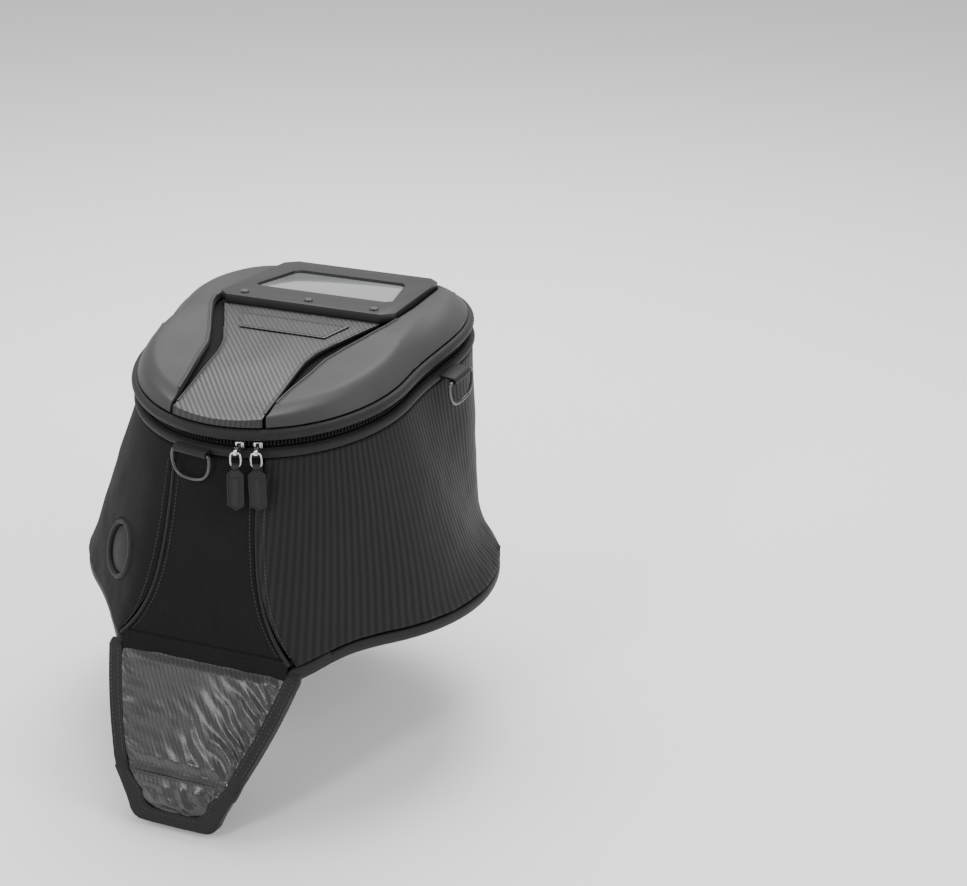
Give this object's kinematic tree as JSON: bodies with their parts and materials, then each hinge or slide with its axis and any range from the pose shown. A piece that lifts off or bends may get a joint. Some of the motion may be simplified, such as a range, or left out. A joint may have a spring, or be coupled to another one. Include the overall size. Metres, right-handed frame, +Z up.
{
  "type": "tank bag",
  "caption": "Motorcycle tank bag with a flared fabric body, a moulded lid on a zip that hinges at the front, a map pocket, D-rings, a side port and a padded rear tongue.",
  "frame": {"origin": "on the underside of the base mat, below the centre of the round rear end of the lid", "axes": "+X to the rider's right, +Y forward, +Z up"},
  "size_m": [0.3766, 0.4425, 0.3606],
  "materials": {
    "fabric": "fine matte black weave",
    "ribbed_fabric": "black ribbed weave",
    "webbing": "dark grey woven tape",
    "tongue_vinyl": "glossy coated cloth",
    "lid_skin": "smooth moulded grey cloth",
    "channel_fabric": "fine diagonal ribs",
    "lining": "matte",
    "board": "matte",
    "frame_plastic": "satin",
    "window": "clear gloss",
    "rubber": "matte",
    "zip_plastic": "satin",
    "steel": "satin",
    "dark_metal": "black satin",
    "pull_leather": "stitched matte"
  },
  "bodies": {
    "bag_body": {"rear_panel": "fabric", "side_panel_left": "fabric", "side_panel_right": "ribbed_fabric", "front_panel": "fabric", "base_mat": "rubber", "base_board": "board", "floor_liner": "lining", "base_binding_left": "webbing", "base_binding_right": "webbing", "base_binding_front": "webbing", "seam_piping_left": "webbing", "seam_piping_right": "webbing", "rim_band": "webbing", "zip_tape_lower": "fabric", "zip_teeth_lower": "zip_plastic", "port_ring": "rubber", "port_membrane": "rubber", "dring_tab_rear": "webbing", "dring_tab_front_left": "webbing", "dring_tab_front_right": "webbing", "side_stiffener_left": "board", "side_stiffener_right": "board", "hinge_strip": "fabric"},
    "lid": {"lid_shell": "board", "lid_lining": "lining", "channel_panel": "channel_fabric", "wing_left": "lid_skin", "wing_right": "lid_skin", "badge_patch": "channel_fabric", "map_bezel": "frame_plastic", "map_window": "window", "map_gasket": "rubber", "map_tray": "board", "bezel_screw_1": "dark_metal", "bezel_screw_2": "dark_metal", "bezel_screw_3": "dark_metal", "lid_welt": "webbing", "zip_tape_upper": "fabric", "zip_teeth_upper": "zip_plastic"},
    "slider_left": {"zip_slider_left": "steel"},
    "slider_right": {"zip_slider_right": "steel"},
    "pull_left": {"pull_bail_left": "steel", "pull_tab_left": "pull_leather"},
    "pull_right": {"pull_bail_right": "steel", "pull_tab_right": "pull_leather"},
    "ring_rear": {"dring_rear": "dark_metal"},
    "ring_front_left": {"dring_front_left": "dark_metal"},
    "ring_front_right": {"dring_front_right": "dark_metal"},
    "tongue": {"tongue_pad": "tongue_vinyl", "tongue_backing": "rubber", "tongue_binding_left": "webbing", "tongue_binding_right": "webbing"},
    "tongue_tip": {"tip_pad": "tongue_vinyl", "tip_backing": "rubber", "tip_binding": "webbing"}
  },
  "joints": [
    {"name": "lid_hinge", "type": "hinge", "parent": "bag_body", "child": "lid", "pos_m": [0, 0.2132, 0.1889], "axis": [-1, 0, 0], "range_deg": [0, 105]},
    {"name": "zip_left", "type": "hinge", "parent": "bag_body", "child": "slider_left", "pos_m": [0, 0, 0.195], "axis": [0, -0.108, 0.9942], "range_deg": [-100.7, 0]},
    {"name": "zip_right", "type": "hinge", "parent": "bag_body", "child": "slider_right", "pos_m": [0, 0, 0.195], "axis": [0, -0.108, 0.9942], "range_deg": [0, 72]},
    {"name": "pull_swing_left", "type": "hinge", "parent": "slider_left", "child": "pull_left", "pos_m": [0.02479, -0.12949, 0.17238], "axis": [-0.9826, -0.1846, -0.0201], "range_deg": [0, 110]},
    {"name": "pull_swing_right", "type": "hinge", "parent": "slider_right", "child": "pull_right", "pos_m": [0.04081, -0.12545, 0.17282], "axis": [-0.9521, -0.3039, -0.033], "range_deg": [0, 110]},
    {"name": "ring_swing_rear", "type": "hinge", "parent": "bag_body", "child": "ring_rear", "pos_m": [-0.01828, -0.12437, 0.16489], "axis": [-0.9898, 0.1418, 0.0154], "range_deg": [0, 150]},
    {"name": "ring_swing_front_left", "type": "hinge", "parent": "bag_body", "child": "ring_front_left", "pos_m": [-0.14463, 0.05295, 0.18416], "axis": [-0.1821, 0.9775, 0.1062], "range_deg": [0, 150]},
    {"name": "ring_swing_front_right", "type": "hinge", "parent": "bag_body", "child": "ring_front_right", "pos_m": [0.14463, 0.05295, 0.18416], "axis": [-0.1821, -0.9775, -0.1062], "range_deg": [0, 150]},
    {"name": "tongue_fold", "type": "hinge", "parent": "bag_body", "child": "tongue", "pos_m": [0, -0.16, -0.003], "axis": [1, 0, 0], "range_deg": [-50, 15]},
    {"name": "tip_fold", "type": "hinge", "parent": "tongue", "child": "tongue_tip", "pos_m": [0, -0.21691, -0.08278], "axis": [1, 0, 0], "range_deg": [-40, 15]}
  ]
}
